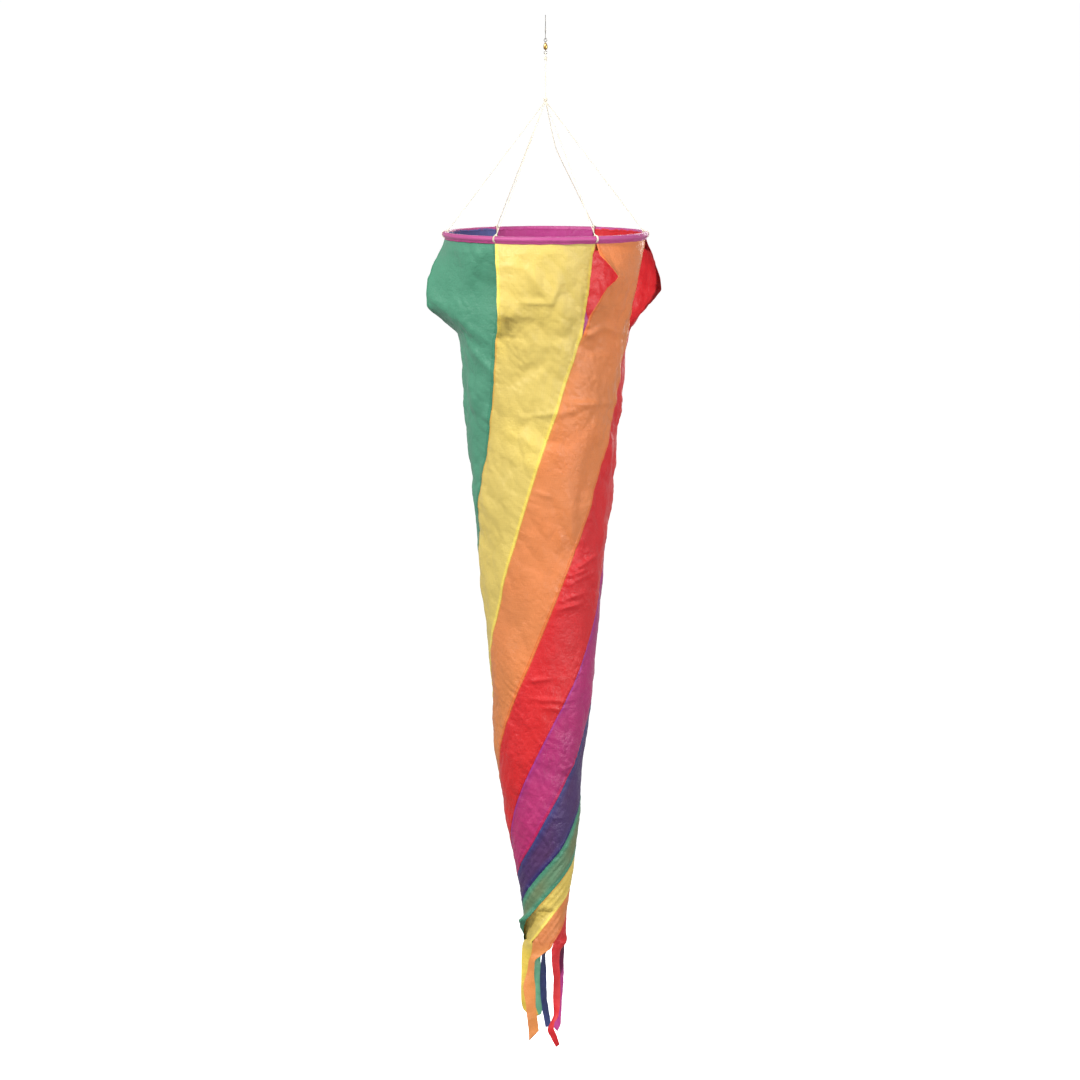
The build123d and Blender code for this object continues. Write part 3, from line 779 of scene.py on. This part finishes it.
# folds on the front: ends (x, z, x, z), half width, height; all in millimetres
FRONT_FOLDS = [
    (-23.4, -360, 5.7, -411, 7, 3.4), (17.7, -384, 8.0, -411, 5, 2.6),
    (-38, -409, 10.5, -410, 4, 2.2), (-67, -355, -28.5, -360, 6, 2.0),
    (-69.5, -386, -33, -411, 7, -2.6), (-58, -466, 44, -474, 9, 1.3),
    (3, -491, -58, -535, 12, -3.2), (23, -569, -33, -578, 4, 1.6), (-50, -600, 20, -640, 9, 1.8),
    (55.5, -462, 83, -446, 6, 3.0), (83, -446, 117, -462, 6, 3.0), (27, -556, 97, -561, 5, 2.4),
    (-13, -686, 9.5, -695, 4, 1.5), (18, -574, 45, -565, 5, 1.8), (80, -590, 43, -736, 10, -2.4),
    (-169, -404, -77, -469, 10, 5.0), (-138, -336, -122, -414, 12, -3.4),
    (-111, -469, -77, -510, 7, 3.0), (151, -408, 129, -437, 5, 2.6),
    (40.7, -802, 76.5, -780, 3, 1.7), (38.5, -809, 60.7, -802, 2.5, 1.5),
    (36, -822, 70, -806, 3, 1.3), (18, -860, 50, -852, 3, 1.6), (24, -846, 58, -836, 3, 1.3),
    (-25.6, -965, 3.7, -962, 3, 1.6), (-23, -991, 32.6, -996, 3.5, 1.8),
    (-10, -1004, 28, -1006, 3, 1.2), (25, -1096, 40, -1091, 2.5, 1.2),
    (3.7, -1166, 25.5, -1169, 3, 1.2), (-12, -1090, 20, -1110, 5, -1.3),
]


def softened(values, rows):
    """Values with their corners rounded over a few rows."""
    reach = int(rows * 3)
    kernel = np.exp(-0.5 * (np.arange(-reach, reach + 1) / rows) ** 2)
    padded = np.pad(values, reach, mode="edge")
    return np.convolve(padded, kernel / kernel.sum(), mode="valid")


def panel_points(colour, start_angle):
    """Smooth middle surface of one panel with its ribbon, and what its rows and columns are."""
    count = int(SEAM_LENGTH / ROW_MM)
    along = np.linspace(0, SEAM_LENGTH, count + 1)
    depth = np.interp(along, fine_along, fine_depth)
    depth[0] = 0.8
    radius, turn = (np.interp(depth, fine_depth, f) for f in (fine_radius, fine_turn))
    width = np.radians(PANEL_TURN) * radius
    z = HOOP_Z - depth
    angle = start_angle - turn
    following = COLOURS[(COLOURS.index(colour) + 1) % len(COLOURS)]
    share_down = np.clip((depth - VENT_TOP) / (JOIN - VENT_TOP), 0, 1)
    # the vent's edge keeps its corners, and the cloth inside it lifts in a softer curve
    sharp = softened(np.interp(share_down, *np.array(VENT_LIFTS[colour], float).T), 0.7)
    lift = softened(sharp, 13.0) * step(depth, 0.0, 24.0) * step(-depth, -JOIN - 30, -JOIN + 50)
    overlap = OVERLAPS.get(colour, 0.0) * np.sin(np.pi * share_down) ** 0.7
    no_shift = [(0, 0), (1, 0)]
    seams = [smooth_table(SEAM_SHIFTS.get(c, no_shift), depth) for c in (colour, following)]
    lap = LEFT_LAPS.get(colour, 0.0) * step(depth, 982, 1008)
    level = np.zeros(len(z))
    left = around(radius, angle + seams[0] - lap, z)
    left += around(lift, angle + VENT_LIFT_TURN, level)
    right = around(radius, angle + PANEL_TURN + overlap + seams[1], z)
    sway = np.stack([smooth_table(SWAY, depth), level, level], axis=-1)
    left, right = left + sway, right + sway
    width = width + np.radians(seams[1] - seams[0]) * radius
    shares = across_shares(width)
    base = bowed(left, right, width * (1 + overlap / PANEL_TURN), shares)
    edge_lift = around(sharp - lift, angle + VENT_LIFT_TURN, level)
    base += edge_lift[:, None] * np.exp(-shares * width[:, None] / 20.0)[..., None]
    # ribbon
    low_left, low_right, down = ribbon_rows(colour, left[-1], right[-1])
    low_width = np.linalg.norm(low_right - low_left, axis=1)
    low_shares = across_shares(low_width)
    ribbon = low_left[:, None] + (low_right - low_left)[:, None] * low_shares[..., None]
    flat_along = unit(low_right - low_left)
    outward = np.stack([flat_along[:, 1], -flat_along[:, 0], np.zeros(len(down))], axis=1)
    bow = 4.0 * np.exp(-down / 14.0) + 0.9 * np.sin(down / 19.0 + start_angle)
    bump = 4 * low_shares * (1 - low_shares)
    ribbon += outward[:, None] * (bow[:, None] * bump)[..., None]
    base = np.concatenate([base, ribbon])
    along = np.concatenate([along, along[-1] + down])
    depth = np.concatenate([depth, FOOT + down])
    width = np.concatenate([width, low_width])
    shares = np.concatenate([shares, low_shares])
    foot_middle = (left[-1] + right[-1]) / 2
    return base, along, depth, width, shares, foot_middle


# flat facets that meet in creases: (seed, how wide, how tall, how high)
CREASE_SCALES = [(22, 46.0, 74.0, 10.0), (25, 22.0, 34.0, 5.2), (28, 10.5, 15.0, 2.0)]
FRONT_FOLD_GAIN = 1.6


def folds(number, base, along, depth, width, from_left, from_right):
    """Height of every wrinkle above the smooth surface, millimetres."""
    x, y, z = np.moveaxis(base, -1, 0)
    d, s = depth[:, None], along[:, None]
    sewn = step(d, JOIN - 4, JOIN + 6)
    ribbon = step(d, FOOT - 2, FOOT + 18)
    lower = step(d, 650.0, 1000.0)
    edge = np.minimum(from_left, from_right)
    out = np.zeros(base.shape[:2])
    # billow between the seams
    billow = step(d, JOIN - 70, JOIN + 90) * (1 - ribbon) * step(width, 20, 90)[:, None]
    out += 1.8 * billow * (1 - np.exp(-edge / 16.0))
    # puckers square to each seam
    for side, dist, seed in ((0, from_left, 11), (1, from_right, 12)):
        reach = np.exp(-dist / (14.0 + 10.0 * noise(s / 60.0, 0.3, number, seed)))
        lean = 0.55 if side else -0.35
        pucker = noise((s + lean * dist) / 9.0, dist / 60.0, number * 3.1, seed)
        pucker += 0.6 * noise((s + lean * dist) / 4.6, dist / 40.0, number * 3.1, seed + 7)
        strength = 0.6 + 0.8 * noise(s / 45.0, 1.7, number, seed + 3)
        out += 1.7 * pucker * reach * (1 - np.exp(-dist / 2.2)) * strength * (1 - ribbon)
    # long soft folds that run down and across, the same on both sides of a seam
    size = step(width, 15, 80)[:, None] * (1 - ribbon)
    out += size * 3.4 * noise(x / 62.0, y / 62.0, z / 130.0, 21)
    skew = z + 0.55 * x
    upper = 1.0 - 0.45 * step(d, 250.0, 600.0)
    for seed, wide, tall, height in CREASE_SCALES:
        where = step(noise(x / 90.0, y / 90.0, z / 90.0, seed + 40), -0.5, 0.35)
        out += size * upper * height * (0.5 - facets(x / wide, y / wide, skew / tall, seed)) * where
    # crumples: fine ridges in patches
    mask = step(noise(x / 70.0, y / 70.0, z / 80.0, 31), -0.2, 0.4)
    crumple = np.sqrt(np.abs(noise(x / 9.0, y / 9.0, (z + 0.7 * x) / 9.0, 33)))
    crumple += 0.8 * np.sqrt(np.abs(noise(x / 20.0, y / 20.0, (z + 0.9 * x) / 13.0, 34)))
    out += (1 - ribbon) * 1.5 * crumple * mask * (0.7 + 0.4 * lower)
    # pleats that follow the twist near the foot
    pleat = noise(from_left / 8.5, s / 70.0, number * 2.3, 36)
    out += lower * (1 - ribbon) * 1.3 * pleat * (1 - np.exp(-edge / 3.0))
    # ribbons: a few kinks
    out += ribbon * 1.1 * noise(s / 14.0, from_left / 25.0, number * 5.0, 41)
    # free edges in the vents and along the ribbons wave a little
    free = (1 - sewn) * np.exp(-from_left / 18.0)
    out += free * 1.2 * noise(s / 26.0, 0.4, number * 7.0, 51)
    front = step(-y, 5.0, 30.0)
    for x1, z1, x2, z2, half, height in FRONT_FOLDS:
        p = np.stack([x - x1, z - z1], -1)
        line = np.array([x2 - x1, z2 - z1], float)
        t = np.clip((p @ line) / (line @ line), 0, 1)
        off = np.linalg.norm(p - t[..., None] * line, axis=-1)
        crest = np.exp(1.0 - np.sqrt(1 + (1.4 * off / half) ** 2))
        taper = np.sin(np.pi * (0.12 + 0.76 * t))
        out += FRONT_FOLD_GAIN * height * front * crest * taper
    return out


def normals_of(points):
    """Unit normals of a grid of points."""
    down = np.gradient(points, axis=0)
    side = np.gradient(points, axis=1)
    return unit(np.cross(down, side))


def outward_normals(points, radial):
    """Normals on the side that faces away from the sock's axis, judged on its upper part."""
    normal = normals_of(points)
    away = (normal * radial).sum(axis=-1)[:400].mean() > 0
    return normal if away else -normal


FIRST_SEAM, PANEL_THICKNESS = 180.0, 0.34
SEAM_FOLD, SEAM_FOLD_HEIGHT = (5.6, 4.6), 0.28  # where the folded seam allowance ends
HEM_FOLD, HEM_FOLD_HEIGHT = (5.2, 4.4), 0.3  # where the vent's folded hem ends
FAR_FROM_HEM = 99.0
PANEL_NODES = ("panel_top", "panel_waist", "panel_foot", "tail")


def add_cloth(name, points, normals, thickness, cloth_mm, wrap_rows=False, **values):
    """A closed sheet whose mesh attributes, for cloth_material, are the same on both sides."""
    shape = points.shape[:2]
    rows = {key: np.tile(np.broadcast_to(v, shape).ravel(), 2) for key, v in values.items()}
    where = np.stack([np.broadcast_to(part, shape) for part in cloth_mm], axis=-1)
    rows = {"cloth_mm": np.tile(where.reshape(-1, 3), (2, 1)), **rows}
    return add_mesh(name, *closed_sheet(points, normals, thickness, wrap_rows), rows)


def add_panel(colour, number, flap):
    """One panel from the hoop to its ribbon's tip, as a closed sheet of folded cloth."""
    start_angle = FIRST_SEAM + number * PANEL_TURN
    base, along, depth, width, shares, foot_middle = panel_points(colour, start_angle)
    radial = unit(base * np.array([1.0, 1.0, 0.0]))
    normal = outward_normals(base, radial)
    from_left = shares * width[:, None]
    from_right = (1 - shares) * width[:, None]
    d = depth[:, None]
    sewn = step(d, JOIN - 12, JOIN) * (1 - step(d, FOOT - 6, FOOT + 4))
    edge = np.minimum(from_left, from_right)
    hold = (sewn * np.exp(-edge / 5.0))[..., None]
    way = unit(normal * (1 - hold) + radial * hold)
    lifted = folds(number, base, along, depth, width, from_left, from_right)
    lifted *= step(d, 2.0, 26.0)  # the top edge is held by the binding
    seam_end, corner = SEAM_ENDS[colour]
    flare = np.interp(d, [seam_end - 6, seam_end + 10, seam_end + 34], [0.0, 1.0, 0.0])
    lifted += 1.35 * corner * flare * np.exp(-(((from_right - 7.0) / 8.0) ** 2))
    # the folded seam allowance makes a thicker band along the right edge
    band = step(from_right, *SEAM_FOLD) * (1 - step(d, FOOT, FOOT + 14)) * step(d, 8, 12)
    lifted += SEAM_FOLD_HEIGHT * band * sewn * step(from_right, 0.0, 0.9)
    points = base + way * lifted[..., None]
    # hem along the lifted edge of the vent
    hem_mm = np.where(d < JOIN + 2, np.minimum(from_left, FAR_FROM_HEM), FAR_FROM_HEM)
    hem = step(from_left, *HEM_FOLD) * (1 - step(d, JOIN - 4, JOIN + 2))
    points += normal * (HEM_FOLD_HEIGHT * hem * step(from_left, 0.0, 0.7))[..., None]
    band = np.maximum(band, hem)
    # painted light: a tint where the narrow foot's far side and its folds show through, and the
    # lighter single-layer colour of the ribbon
    layers = step(d, 480, 900) * (1 - step(d, FOOT - 40, FOOT)) * step(edge, 3.0, 14.0)
    patches = noise(base[..., 0] / 30, base[..., 1] / 30, base[..., 2] / 45, 71)
    layers = layers * (0.75 + 0.5 * patches) - step(d, FOOT - 4, FOOT + 24)
    left_band = 0.8 * step(from_left, 3.6, 2.4) * sewn
    piece = add_cloth(
        f"panel_{colour}", points, outward_normals(points, radial), PANEL_THICKNESS,
        (from_left, along[:, None], from_right), band=band, left_band=left_band, layers=layers,
        hem_mm=hem_mm)
    paint(piece, cloth_finish[colour])
    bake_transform(piece)
    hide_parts(*[f"{part}_{colour}" for part in PANEL_NODES])


FLAP_DROP, FLAP_RISE = 17.0, 18.1  # from the hoop's middle down, and from there up


def add_flap(colour, number):
    """The top of a panel seen inside the hoop: its raw edge is folded up against the binding."""
    start_angle = FIRST_SEAM + number * PANEL_TURN
    angle = np.linspace(start_angle + 0.6, start_angle + 59.4, 150)[:, None]
    share = np.linspace(0, 1, 12)[None]
    arc = np.radians(angle) * HOOP_R
    wave = noise(arc / 7.5, 0.3, number, 81) * 1.1 + noise(arc / 3.4, 0.3, number, 82) * 0.5
    radius = HOOP_R - SLEEVE_R - 0.75 + 0.5 * share + wave * 0.45 * share
    points = around(radius, angle, HOOP_Z - FLAP_DROP + share * (FLAP_RISE + wave * 1.5))
    from_edge = (1 - share) * 18.0
    # painted light: the flap takes the lighter single-layer colour, as if lit inside the hoop
    piece = add_cloth(
        f"rim_{colour}", points, normals_of(points), 0.3, (from_edge, arc, from_edge),
        band=0.0, left_band=0.0, layers=-0.8, hem_mm=from_edge + 1.4)
    finish_piece(piece, cloth_finish[colour], f"cloth_{colour}")
    return piece


for number, colour in enumerate(COLOURS):
    add_panel(colour, number, add_flap(colour, number))


# ---- the hem: a binding of bias tape folded over the rod and sewn below it ----
SKIRT = [(0.7, -7.0), (0.8, -5.9), (0.95, -4.9), (1.3, -4.2)]  # below the rod: (outwards, up)
HEM_RINGS, HEM_THICKNESS = 560, 0.4
ROD_TOP = 17  # the section's point on top of the rod


def add_hem():
    """The binding as a closed sheet: a folded section carried round the hoop, with gathers."""
    over_rod = np.radians(180 - np.linspace(-52, 232, 28))
    section = [(-out, up) for out, up in SKIRT]
    section += [(SLEEVE_R * math.cos(a), SLEEVE_R * math.sin(a)) for a in over_rod]
    section = np.array(section + SKIRT[::-1])
    run = np.concatenate([[0], np.cumsum(np.linalg.norm(np.diff(section, axis=0), axis=1))])
    angle = np.linspace(0, 360, HEM_RINGS, endpoint=False)[:, None]
    out, up = section[None, :, 0], section[None, :, 1]
    low = step(-up, 0.0, 7.0)
    cx, cy = np.cos(np.radians(angle)) * 40, np.sin(np.radians(angle)) * 40
    gather = noise(cx / 1.6, cy / 1.6, up / 18.0, 61) * 0.28
    gather = gather + noise(cx / 0.7, cy / 0.7, up / 12.0, 62) * 0.16
    wavy = noise(cx / 4.5, cy / 4.5, 0.5, 63) * 0.6
    r = HOOP_R + out + gather * (0.5 + low) * np.sign(out + 1e-6)
    points = around(r, angle, HOOP_Z + up + wavy * low)
    down = np.roll(points, -1, 0) - np.roll(points, 1, 0)
    side = np.gradient(points, axis=1)
    normal = unit(np.cross(down, side))
    centre = around(HOOP_R, angle, HOOP_Z)[:, 0]
    if (normal[:, ROD_TOP] * (points[:, ROD_TOP] - centre)).sum(-1).mean() < 0:
        normal = -normal
    from_edge = np.minimum(run, run[-1] - run)[None]
    piece = add_cloth(
        "hem_binding", points, normal, HEM_THICKNESS,
        (from_edge, np.radians(angle) * HOOP_R, from_edge), wrap_rows=True,
        band=0.6 * step(from_edge, 3.2, 2.6), left_band=0.0, layers=0.0, hem_mm=from_edge + 1.6)
    finish_piece(piece, hem_finish, "hem", "hem_sleeve")


add_hem()

# ---- CAD nodes that stay ----
for node, finish in {
    "snap_frame": "snap_wire", "snap_latch": "snap_wire", "snap_plate": "snap_plate",
    "swivel_upper_eye": "swivel_eye", "swivel_lower_eye": "swivel_eye",
    "swivel_barrel": "swivel_brass", "swivel_balls": "swivel_ball", "hoop_rod": "hoop_rod",
    "hoop_ferrule": "ferrule",
}.items():
    paint(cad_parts[node], finishes[finish])


# ---- stage ----
FLOOR_SIZE, FLOOR_Z, FLOOR_GLOW = 90.0, -1.95, 0.55
AIM = (0, 0, -0.8)
# each light: place, side of its square in metres, watts
LIGHTS = {
    "key": ((-2.9, -3.4, 2.4), 0.7, 462),
    "fill": ((3.3, -2.9, -0.2), 1.4, 180),
    "back": ((0.8, 4.2, 0.4), 2.6, 120),
}


def add_floor():
    """A plain floor that glows white and throws no light on the object."""
    size, z = FLOOR_SIZE, FLOOR_Z
    mesh = bpy.data.meshes.new("floor")
    corners = [(-size, -size, z), (size, -size, z), (size, size, z), (-size, size, z)]
    mesh.from_pydata(corners, [], [(0, 1, 2, 3)])
    floor = put_in_scene("floor", mesh)
    floor.visible_diffuse = floor.visible_glossy = floor.visible_transmission = False
    m = Nodes(bpy.data.materials.new("floor_paint"))
    m.set(colour=(0.93, 0.93, 0.93, 1), roughness=0.9, specular=0.0)
    m.put((1, 1, 1, 1), m.base.inputs["Emission Color"])
    m.put(FLOOR_GLOW, m.base.inputs["Emission Strength"])
    paint(floor, m.owner)


def add_light(name, place, size, watts):
    data = bpy.data.lights.new(name, "AREA")
    data.shape = "RECTANGLE"
    data.size = data.size_y = size
    data.energy = watts
    light = put_in_scene(name, data)
    light.location = place
    way = Vector(AIM) - Vector(place)
    light.rotation_euler = way.to_track_quat("-Z", "Y").to_euler()


# brightness of the air at the horizon and above, and the heights where it fades between
AIR_WHITE, AIR_GREY, AIR_FADE = 1.02, 0.5, (0.06, 0.16)


def add_world():
    """Soft grey studio air that is white along the horizon, where the floor ends."""
    scene.world = bpy.data.worlds.new("studio")
    m = Nodes(scene.world, "Background")
    m.put((1, 1, 1, 1), m.base.inputs["Color"])
    parts = m.add("SeparateXYZ", {0: m.add("TexCoord").outputs["Generated"]})
    height = m.math("ABSOLUTE", parts.outputs["Z"])
    m.put(m.step(height, *AIR_FADE, (AIR_WHITE, AIR_GREY)), m.base.inputs["Strength"])


add_floor()
add_world()
for name, settings in LIGHTS.items():
    add_light(name, *settings)

bpy.context.view_layer.update()
